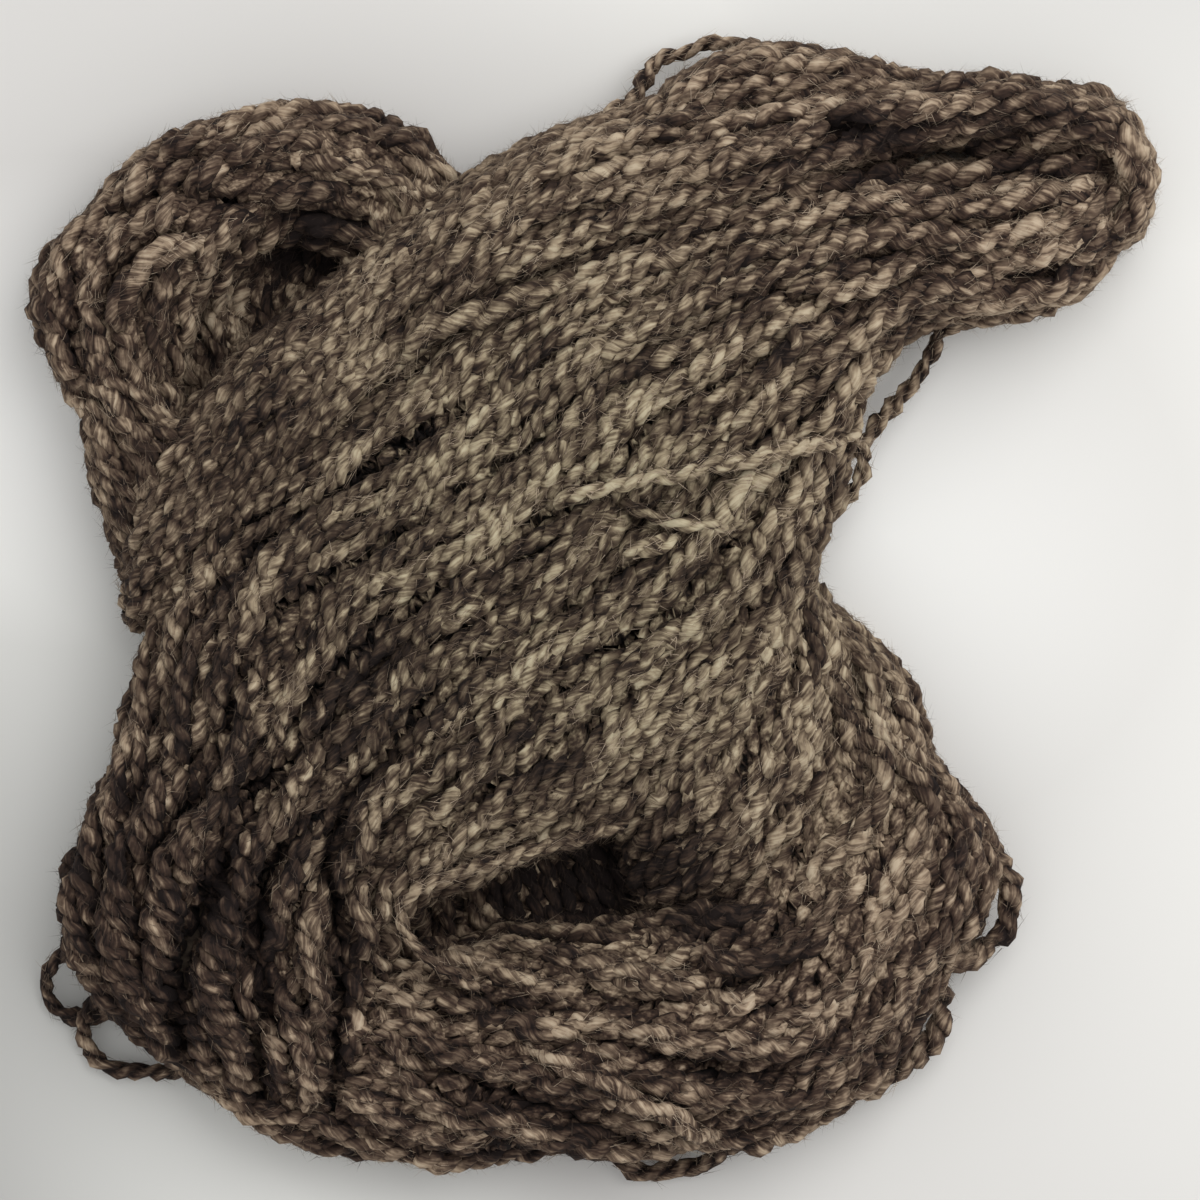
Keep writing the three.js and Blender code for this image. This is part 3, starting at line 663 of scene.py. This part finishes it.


class Mesh:
    """Tubes gathered into one mesh, with each one's place along its fibres and on the bake map."""

    def __init__(self):
        self.corners, self.fibre, self.tone, self.painted_relief_shade = [], [], [], []
        self.faces, self.sizes, self.running, self.stretch = [], [], [], []
        self.count = 0
        self.laid = 0.0

    def tube(self, middle, first, second, radius, length, tone, sides, offset, inner, lumps):
        """A tube round its middle line, whose ring at each point is spanned by two ways."""
        rings = len(middle)
        angle = np.arange(sides) / sides * 2 * np.pi
        angle = angle - CROWDING * np.sin(angle)
        across, up = np.cos(angle)[None, :, None], np.sin(angle)[None, :, None]
        ring = across * first[:, None, :] + up * second[:, None, :]
        reach = radius[:, None, None] * (1 + LUMPINESS * lumps[:, :sides, None])
        corners = (middle[:, None, :] + ring * reach).reshape(-1, 3)
        corners[:, 2] = np.maximum(corners[:, 2], TABLE_GAP)
        tips = np.stack([middle[0], middle[-1]])
        around = angle[None, :] - FIBRE_TURN * length[:, None]
        out = radius[:, None]
        along = np.repeat(length[:, None] + offset, sides, axis=1)
        fibre = np.stack([along, out * np.cos(around), out * np.sin(around)], axis=-1).reshape(-1, 3)
        ends = np.array([[length[0] + offset, 0, 0], [length[-1] + offset, 0, 0]])
        self.corners += [corners, tips]
        self.fibre += [fibre, ends]
        self.tone += [np.repeat(tone, sides), tone[[0, -1]]]
        # Painted highlight and shade: paler on a ply's outer side, darker where it turns in towards the
        # other ply
        proud = np.tile(0.5 + 0.5 * np.cos(angle), rings)
        # On a buried strand, mostly painted by the yarn's height: paler on its top, darker on its flanks
        # between strands
        if inner is not None:
            points, outward, reach = inner
            ways = corners.reshape(rings, sides, 3) - points[:, None]
            depth = np.sum(ways * outward[:, None], axis=-1)
            height = np.clip(depth / reach[:, None], -1, 1).ravel()
            proud = PLY_RELIEF_PAINT * proud + YARN_RELIEF_PAINT * (0.5 + 0.5 * height)
        self.painted_relief_shade += [proud, np.zeros(2)]
        quads = quads_round(rings, sides)
        j = np.arange(sides)
        beside = (j + 1) % sides
        first_cap = np.stack([np.full(sides, rings * sides), j, beside], axis=-1)
        last = (rings - 1) * sides
        last_cap = np.stack([np.full(sides, rings * sides + 1), last + beside, last + j], axis=-1)
        kept = np.ones(len(quads), bool)
        if inner is not None:
            kept = ~np.all((height < -INWARD)[quads], axis=1)
        quads = quads[kept]
        self.faces += [(faces + self.count).ravel() for faces in (quads, first_cap, last_cap)]
        self.sizes += [np.full(len(quads), 4), np.full(2 * sides, 3)]
        self.map_tube(length, sides, kept)
        self.count += rings * sides + 2

    def map_tube(self, length, sides, kept):
        """Bake places of a tube's faces: how far along all the tubes laid so far, and how far round."""
        start = self.laid + length - length[0]
        i, j = np.meshgrid(np.arange(len(length) - 1), np.arange(sides), indexing="ij")
        begin, end = start[i], start[i + 1]
        low, high = j / sides, (j + 1) / sides
        quads = np.stack([begin, low, end, low, end, high, begin, high], axis=-1).reshape(-1, 8)[kept]
        j = np.arange(sides)
        low, high = j / sides, (j + 1) / sides
        first = np.full(sides, start[0])
        last = np.full(sides, start[-1])
        first_cap = np.stack([first, (low + high) / 2, first + CAP, low, first + CAP, high], axis=-1)
        last_cap = np.stack([last, (low + high) / 2, last - CAP, high, last - CAP, low], axis=-1)
        self.running += [quads.ravel(), first_cap.ravel(), last_cap.ravel()]
        self.laid = start[-1] + TUBE_GAP

    def bake_places(self):
        """The bake map: one long strip of all tubes, cut into rows that fill the square."""
        places = np.concatenate(self.running).reshape(-1, 2)
        row_length = (self.laid * BAKE_ROW) ** 0.5
        sizes = np.concatenate(self.sizes)
        lowest = np.minimum.reduceat(places[:, 0], np.cumsum(sizes) - sizes)
        row = np.repeat(np.floor(lowest / row_length), sizes)
        rows = np.floor(self.laid / row_length) + 1
        u = (places[:, 0] - row * row_length) / (row_length + ROW_END * STEP)
        v = (row + GAP + (1 - 2 * GAP) * places[:, 1]) / rows
        return np.stack([u, v], axis=-1)

    def triangles(self):
        return int(np.sum(np.concatenate(self.sizes) - 2))

    def build(self, name, material):
        sizes = np.concatenate(self.sizes)
        mesh = new_mesh(name, np.concatenate(self.corners), np.concatenate(self.faces), sizes)
        mesh.polygons.foreach_set("use_smooth", np.ones(len(sizes), bool))
        mesh.update(calc_edges=True)
        places = mesh.uv_layers.new(name="OFBake")
        places.data.foreach_set("uv", self.bake_places().astype(np.float32).ravel())
        for label in ("fibre", "tone", "painted_relief_shade"):
            add_values(mesh, label, np.concatenate(getattr(self, label)))
        add_piece(name, mesh, material)


SIDES = {FINE: 5, SIDE: 5, COARSE: 4}
PLY_START = 470  # how far apart two plies are on the pattern of their fibres
LUMPINESS = 0.13  # how uneven a tube's sides are, as a share of its radius
INWARD = 0.4  # how far below its middle a buried strand is left open, in its radii
SKIP = {FINE: 1, SIDE: 1, COARSE: 2}
MOST_TRIANGLES = 180_000  # after which the next strand starts another piece


def add_strand(mesh, strand):
    """Both plies of a strand, as tubes that turn round its middle."""
    for detail, start, end in runs(strand.detail):
        picked = np.arange(start, end, SKIP[detail])
        if len(picked) < 3:
            continue
        for ply in range(2):
            phase = (strand.phase[picked] + ply * np.pi)[:, None]
            radial = np.cos(phase) * strand.outward[picked] + np.sin(phase) * strand.beside[picked]
            width = strand.width[picked]
            radius = PLY_RADIUS * width * strand.uneven[ply][picked]
            middle = strand.points[picked] + radial * (PLY_OFFSET * width)[:, None]
            middle[:, 2] = np.maximum(middle[:, 2], radius)
            way = unit(np.gradient(middle, axis=0))
            first = unit(radial - way * np.sum(radial * way, axis=1, keepdims=True))
            second = np.cross(way, first)
            length = strand.length[picked]
            inner = None
            if strand.buried:
                inner = strand.points[picked], strand.outward[picked], YARN_RADIUS * width
            mesh.tube(
                middle, first, second, radius, length, strand.tone[picked], SIDES[detail],
                offset=strand.start + PLY_START * ply, inner=inner, lumps=strand.lumps[ply][picked],
            )


def add_strands(name, strands, material):
    """The strands as joined meshes, each of them small enough."""
    made = []
    mesh = Mesh()
    for strand in strands:
        add_strand(mesh, strand)
        if mesh.sizes and mesh.triangles() > MOST_TRIANGLES:
            made.append(mesh)
            mesh = Mesh()
    if mesh.sizes:
        made.append(mesh)
    for number, mesh in enumerate(made, 1):
        mesh.build(f"{name}_{number}" if len(made) > 1 else name, material)


# Materials

class Nodes:
    """A material, with short calls for adding its nodes and linking them."""

    def __init__(self, name):
        self.material = bpy.data.materials.new(name)
        self.material.use_nodes = True
        self.tree = self.material.node_tree
        self.shader = self.tree.nodes["Principled BSDF"]

    def finish(self, colour, roughness, specular=None):
        """The material with its colour and gloss set."""
        self.join(colour, self.shader.inputs["Base Color"])
        self.shader.inputs["Roughness"].default_value = roughness
        if specular is not None:
            self.shader.inputs["Specular IOR Level"].default_value = specular
        return self.material

    def add(self, kind, **settings):
        node = self.tree.nodes.new(kind)
        for key, value in settings.items():
            setattr(node, key, value)
        return node

    def join(self, source, target):
        self.tree.links.new(source, target)

    def set(self, socket, value):
        if isinstance(value, bpy.types.NodeSocket):
            self.join(value, socket)
        else:
            socket.default_value = value

    def attribute(self, name, output):
        return self.add("ShaderNodeAttribute", attribute_name=name).outputs[output]

    def place(self):
        return self.add("ShaderNodeTexCoord").outputs["Object"]

    def noise(self, vector, scale, detail=2.0, roughness=0.5):
        """Noise with its own scale along each axis."""
        stretched = self.add("ShaderNodeVectorMath", operation="MULTIPLY")
        self.join(vector, stretched.inputs[0])
        stretched.inputs[1].default_value = scale
        node = self.add("ShaderNodeTexNoise")
        self.join(stretched.outputs["Vector"], node.inputs["Vector"])
        node.inputs["Scale"].default_value = 1.0
        node.inputs["Detail"].default_value = detail
        node.inputs["Roughness"].default_value = roughness
        return node.outputs["Fac"]

    def maths(self, operation, *values):
        node = self.add("ShaderNodeMath", operation=operation)
        for socket, value in zip(node.inputs, values):
            self.set(socket, value)
        return node.outputs[0]

    def near(self, place, middle, reach, most=1.0):
        """The most at the middle, and nothing beyond the reach."""
        node = self.add("ShaderNodeVectorMath", operation="DISTANCE")
        self.join(place, node.inputs[0])
        node.inputs[1].default_value = middle
        share = self.maths("MULTIPLY_ADD", node.outputs["Value"], -most / reach, most)
        return self.maths("MAXIMUM", share, 0)

    def ramp(self, factor, stops):
        node = self.add("ShaderNodeValToRGB")
        self.join(factor, node.inputs["Fac"])
        elements = node.color_ramp.elements
        while len(elements) < len(stops):
            elements.new(0.5)
        for element, (place, colour) in zip(elements, stops):
            element.position = place
            element.color = (*colour, 1)
        return node.outputs["Color"]

    def mix(self, factor, first, second, blend="MIX"):
        node = self.add("ShaderNodeMix", data_type="RGBA", blend_type=blend)
        self.set(node.inputs[0], factor)
        self.set(node.inputs[6], first)
        self.set(node.inputs[7], second)
        return node.outputs[2]


DARK = (0.010, 0.0055, 0.0048)
BROWN = (0.046, 0.0265, 0.0185)
GREY = (0.137, 0.093, 0.064)
BEIGE = (0.335, 0.247, 0.170)
PALE = (0.50, 0.395, 0.285)
WOOL_STOPS = [(0.08, DARK), (0.35, BROWN), (0.56, GREY), (0.76, BEIGE), (0.98, PALE)]
# The wool inside the bundles, painted dark as shade
INNER_PAINTED_SHADE_STOPS = [(0.3, (0.02, 0.014, 0.012)), (0.7, (0.085, 0.065, 0.048))]
FUZZ_STOPS = [(0.1, (0.03, 0.019, 0.014)), (0.5, (0.14, 0.1, 0.07)), (0.9, (0.42, 0.33, 0.24))]

SHADE_START = -1.505  # where along the ramp the wool's colour starts
RELIEF_PAINT_SHADE = 0.85  # how far along it the painted highlight and shade move wool that stands proud

# The greener wool at the middle of the skein, in metres
OLIVE = (0.965, 1.06, 1.0, 1)
OLIVE_MIDDLE, OLIVE_REACH, OLIVE_MOST = (-0.01, 0.01, 0.04), 0.1, 1.4
BUMP, BUMP_HEIGHT = 0.3, 0.0008  # strength, and height in metres


def wool():
    """Heathered wool: dark and pale fibres that run along each ply, with painted highlight and shade:
    paler where the ply stands proud, darker in the grooves.
    """
    nodes = Nodes("wool_yarn")
    fibre = nodes.attribute("fibre", "Vector")
    tone = nodes.attribute("tone", "Fac")
    painted_relief_shade = nodes.attribute("painted_relief_shade", "Fac")
    place = nodes.place()
    streaks = nodes.noise(fibre, (0.32, 1.8, 1.8), 1.5, 0.45)
    tufts = nodes.noise(fibre, (0.22, 0.7, 0.7))
    patches = nodes.noise(place, (330, 330, 330), 2.5, 0.55)
    # The painted highlight and shade by relief first, then the tones
    shade = nodes.maths("MULTIPLY_ADD", painted_relief_shade, RELIEF_PAINT_SHADE, SHADE_START)
    for part, weight in ((tone, 0.055), (streaks, 0.58), (patches, 0.82), (tufts, 1.18)):
        shade = nodes.maths("MULTIPLY_ADD", part, weight, shade)
    olive = nodes.near(place, OLIVE_MIDDLE, OLIVE_REACH, OLIVE_MOST)
    colour = nodes.mix(olive, nodes.ramp(shade, WOOL_STOPS), OLIVE, "MULTIPLY")
    raised = nodes.add("ShaderNodeBump")
    raised.inputs["Strength"].default_value = BUMP
    raised.inputs["Distance"].default_value = BUMP_HEIGHT
    nodes.join(nodes.noise(fibre, (0.5, 2.4, 2.4)), raised.inputs["Height"])
    nodes.join(raised.outputs["Normal"], nodes.shader.inputs["Normal"])
    return nodes.finish(colour, roughness=0.92, specular=0.25)


def core_wool_painted_shade():
    nodes = Nodes("wool_inside_painted_shade")
    clumps = nodes.noise(nodes.place(), (600, 600, 600), 3, 0.6)
    return nodes.finish(nodes.ramp(clumps, INNER_PAINTED_SHADE_STOPS), roughness=1.0, specular=0.1)


# Pieces

def add_core(shells, material):
    """The wool under the strands of every bundle, painted dark for the shade deep inside."""
    corners, faces = joined(shells)
    mesh = bpy.data.meshes.new("inner_wool")
    mesh.from_pydata([[MM * value for value in corner] for corner in corners], [], faces)
    mesh.shade_smooth()
    add_piece("inner_wool", mesh, material)


def loose_strands(rng):
    made = []
    for name, points in LOOSE.items():
        path = smooth_curve(points, WAY_ROWS)
        outward = np.tile(UP, (WAY_ROWS, 1))
        made.append(Strand(rng, path, outward, width=THICK.get(name, USUAL_THICK), slubs=LOOSE_SLUBS))
    return made


OVER_SLUBS = 0.4
OVER_LIFT = 0.1 * YARN
OVER_SMOOTHED = 9  # samples that its height is smoothed over, an odd number
TUCKED_ROWS, TUCKED = 10, 1.4 * YARN  # samples over which its ends go down, and how deep
TAPERED, TAPER_END = 0.9, 0.6  # width past which it tapers, and to what share of it
ABOVE = 100  # higher than anything


def over_strands(rng, bundles):
    """The strands that lie on top, following the form under them, with their ends tucked in."""
    tree = BVHTree.FromPolygons(*joined([shell(bundle, 0) for bundle in bundles.values()]))
    down = Vector((0, 0, -1))
    made = []
    for width, twist, tone, points in OVER.values():
        path = smooth_curve([(*point, 0)[:3] for point in points], WAY_ROWS)
        for point in path:
            hit = tree.ray_cast(Vector((point[0], point[1], ABOVE)), down)[0]
            point[2] = max(hit.z if hit else YARN, point[2])
        padded = np.pad(path[:, 2], OVER_SMOOTHED // 2, mode="edge")
        path[:, 2] = np.convolve(padded, np.ones(OVER_SMOOTHED) / OVER_SMOOTHED, mode="valid")
        ends = np.minimum(np.arange(WAY_ROWS), np.arange(WAY_ROWS)[::-1])
        path[:, 2] += OVER_LIFT - np.clip(1 - ends / TUCKED_ROWS, 0, 1) * TUCKED * max(width, 1)
        outward = np.tile(UP, (WAY_ROWS, 1))
        strand = Strand(rng, path, outward, width=width, slubs=OVER_SLUBS, twist=twist)
        if width > TAPERED:
            strand.width *= TAPER_END + (1 - TAPER_END) * np.sin(np.pi * strand.shares())
        strand.tone += tone
        strand.buried = True
        made.append(strand)
    return made


# The single fibres: how many, how long, how far they lift, how wide they are, how far round the
# strands they grow, and how many times as many where the wool is steep
FIBRES = {
    "surface_hairs": (80000, (1.6, 5), (0.0, 0.25), 0.12, 0.9, 0.4),
    "fuzz": (70000, (0.8, 3.4), (0.25, 1.3), 0.06, 1.1, 9),
}
FIBRE_STEEP = 0.45  # how far up a strand faces where it counts as steep
FIBRE_SLANT, FIBRE_FACING = 0.6, 0.4  # spread of their slant from the strand, and of the way they face
FIBRE_ROOT = 0.9  # how far out they start, in the strand's radii
FIBRE_LOWEST = 0.1  # over the table
FIBRE_SHARE, FIBRE_SPREAD = 0.5, 0.7  # share of the strand's tone, painted shade included, that they take, and their own


def add_fuzz(rng, name, strands, material):
    """Single fibres: long thin slips that face outward."""
    count, length, lift, width, spread, rim = FIBRES[name]
    fine = [strand.detail >= SIDE for strand in strands]
    picked = {}
    for key in ("points", "outward", "beside", "tangent", "tone", "width"):
        picked[key] = np.concatenate([getattr(strand, key)[keep] for strand, keep in zip(strands, fine)])
    steep = picked["outward"][:, 2] < FIBRE_STEEP
    chance = np.where(steep, rim, 1.0)
    rows = rng.choice(len(chance), count, p=chance / np.sum(chance))
    angle = rng.normal(0, spread, count)[:, None]
    radial = np.cos(angle) * picked["outward"][rows] + np.sin(angle) * picked["beside"][rows]
    around = np.cross(picked["tangent"][rows], radial)
    slant = rng.normal(0, FIBRE_SLANT, count)[:, None]
    along = picked["tangent"][rows] * rng.choice([-1, 1], count)[:, None]
    lifted = rng.uniform(*lift, count)[:, None]
    ways = unit(along * np.cos(slant) + around * np.sin(slant) + radial * lifted)
    roots = picked["points"][rows] + radial * (YARN_RADIUS * picked["width"][rows] * FIBRE_ROOT)[:, None]
    long = (length[0] + (length[1] - length[0]) * rng.uniform(0, 1, count) ** 2)[:, None]
    facing = radial + UP + rng.normal(0, FIBRE_FACING, (count, 3))
    side = unit(np.cross(ways, facing)) * width / 2
    corners = np.stack([roots - side, roots + side, roots + ways * long], axis=1)
    corners[..., 2] = np.maximum(corners[..., 2], FIBRE_LOWEST)
    mesh = new_mesh(name, corners.reshape(-1, 3), np.arange(count * 3), np.full(count, 3))
    mesh.update(calc_edges=True)
    own = picked["tone"][rows] * FIBRE_SHARE + rng.normal(0, FIBRE_SPREAD, count)
    add_values(mesh, "tone", np.repeat(own, 3))
    add_piece(name, mesh, material)


def fuzz_wool():
    nodes = Nodes("wool_fuzz")
    shade = nodes.maths("MULTIPLY_ADD", nodes.attribute("tone", "Fac"), 0.2, 0.5)
    return nodes.finish(nodes.ramp(shade, FUZZ_STOPS), roughness=0.7, specular=0.2)


# Floor, light and camera

# The table's painted light and shade: colours along a slope up to the right and to the top, darker toward
# the lower left, with its steepness in each axis
TABLE_PAINTED_LIGHT_STOPS = [
    (0.21, (0.465, 0.46, 0.442)), (0.36, (0.755, 0.75, 0.72)), (0.47, (0.655, 0.638, 0.618)),
    (0.55, (0.725, 0.71, 0.685)), (0.66, (0.83, 0.82, 0.79)), (0.79, (0.67, 0.66, 0.64)),
]
TABLE_SLOPE = (1.3, 1.6)
TABLE_REACH = 3.0
# Painted light where the table is paler beside the skein: the middle and the reach, in metres
PAINTED_LIGHT = (0.97, 0.965, 0.94, 1)
PAINTED_LIGHT_RIGHT = (0.06, 0.015, 0), 0.06
PAINTED_LIGHT_LEFT = (-0.108, 0.042, 0), 0.05


def add_floor():
    nodes = Nodes("table")
    # The table's colour is painted light and shade: a slope darker toward the lower left, with painted
    # light beside the skein
    place = nodes.place()
    slope = nodes.noise(place, (2.5, 2.5, 2.5))
    sides = nodes.add("ShaderNodeSeparateXYZ")
    nodes.join(place, sides.inputs[0])
    for axis, steepness in zip("XY", TABLE_SLOPE):
        slope = nodes.maths("MULTIPLY_ADD", sides.outputs[axis], steepness, slope)
    # Painted light beside the skein, over the painted slope
    paler = nodes.maths("ADD", nodes.near(place, *PAINTED_LIGHT_RIGHT), nodes.near(place, *PAINTED_LIGHT_LEFT))
    colour = nodes.mix(paler, nodes.ramp(slope, TABLE_PAINTED_LIGHT_STOPS), PAINTED_LIGHT)
    mesh = bpy.data.meshes.new("table")
    corners = [(x * TABLE_REACH, y * TABLE_REACH, 0) for x, y in ((-1, -1), (1, -1), (1, 1), (-1, 1))]
    mesh.from_pydata(corners, [], [(0, 1, 2, 3)])
    mesh.materials.append(nodes.finish(colour, roughness=0.6))
    put("table", mesh)


SKY, SKY_STRENGTH = (0.97, 0.975, 0.975, 1), 0.77


def add_light(name, place, size, power):
    lamp = bpy.data.lights.new(name, "AREA")
    lamp.size = size
    lamp.energy = power
    holder = put(name, lamp)
    holder.location = place
    holder.rotation_euler = (-Vector(place)).to_track_quat("-Z", "Y").to_euler()


# The camera, in metres: the photo's width and middle at the level of focus, and how far above it is
PHOTO_WIDTH, PHOTO_MIDDLE = 0.24, (0.0012, 0.002)
LEVEL, DISTANCE = 0.016, 1.5
SENSOR = 36  # millimetres


def add_camera():
    """Straight above the middle of the photograph."""
    camera = bpy.data.cameras.new("camera")
    camera.sensor_width = SENSOR
    camera.lens = SENSOR * DISTANCE / PHOTO_WIDTH
    holder = put("camera", camera)
    holder.location = (*PHOTO_MIDDLE, DISTANCE + LEVEL)
    bpy.context.scene.camera = holder


def add_world():
    world = bpy.data.worlds.new("studio")
    world.use_nodes = True
    background = world.node_tree.nodes["Background"]
    background.inputs["Color"].default_value = SKY
    background.inputs["Strength"].default_value = SKY_STRENGTH
    bpy.context.scene.world = world


SIGHT_DEPTH, UNDER_SIGHT_DEPTH = 1.5 * YARN, 3 * YARN  # of the forms that hide the strands
INNER_DEPTH = 2.9 * YARN
UNDER_STEEP = 0.2  # how far up a strand of the second layer has to face to be made
# Painted shade over the bed, which lies deep under the other bundles
BED_PAINTED_SHADE = -1.2


def main():
    rng = np.random.default_rng(SEED)
    bundles = {name: Bundle(rows) for name, rows in BUNDLES.items()}
    strands = {name: bundle_strands(rng, bundle) for name, bundle in bundles.items()}
    strands["loose"] = loose_strands(rng) + over_strands(rng, bundles)
    # Painted shade on the bed strands
    for strand in strands["bed"]:
        strand.tone += BED_PAINTED_SHADE - strand.near(BED_PAINTED_SHADE_PLACES)
    everything = [strand for members in strands.values() for strand in members]
    for name in bundles:
        for strand in strands[name]:
            strand.buried = True
    mark_hidden(everything, core_shells(bundles, SIGHT_DEPTH), lift=1.0)
    under = [strand for bundle in bundles.values() for strand in under_strands(rng, bundle)]
    mark_hidden(under, core_shells(bundles, UNDER_SIGHT_DEPTH), lift=0.5)
    for strand in under:
        strand.detail[strand.crowded | (strand.outward[:, 2] < UNDER_STEEP)] = HIDDEN
        strand.buried = True
    material = wool()
    for name, members in strands.items():
        add_strands(name + "_strands", members, material)
    add_strands("under_strands", under, material)
    add_core(core_shells(bundles, INNER_DEPTH), core_wool_painted_shade())
    fuzz = fuzz_wool()
    for name in FIBRES:
        add_fuzz(rng, name, everything, fuzz)
    add_floor()
    add_light("key", place=(0.36, 0.33, 0.8), size=0.8, power=4.3)
    add_world()
    add_camera()
    bpy.context.scene.view_settings.view_transform = "Standard"


main()
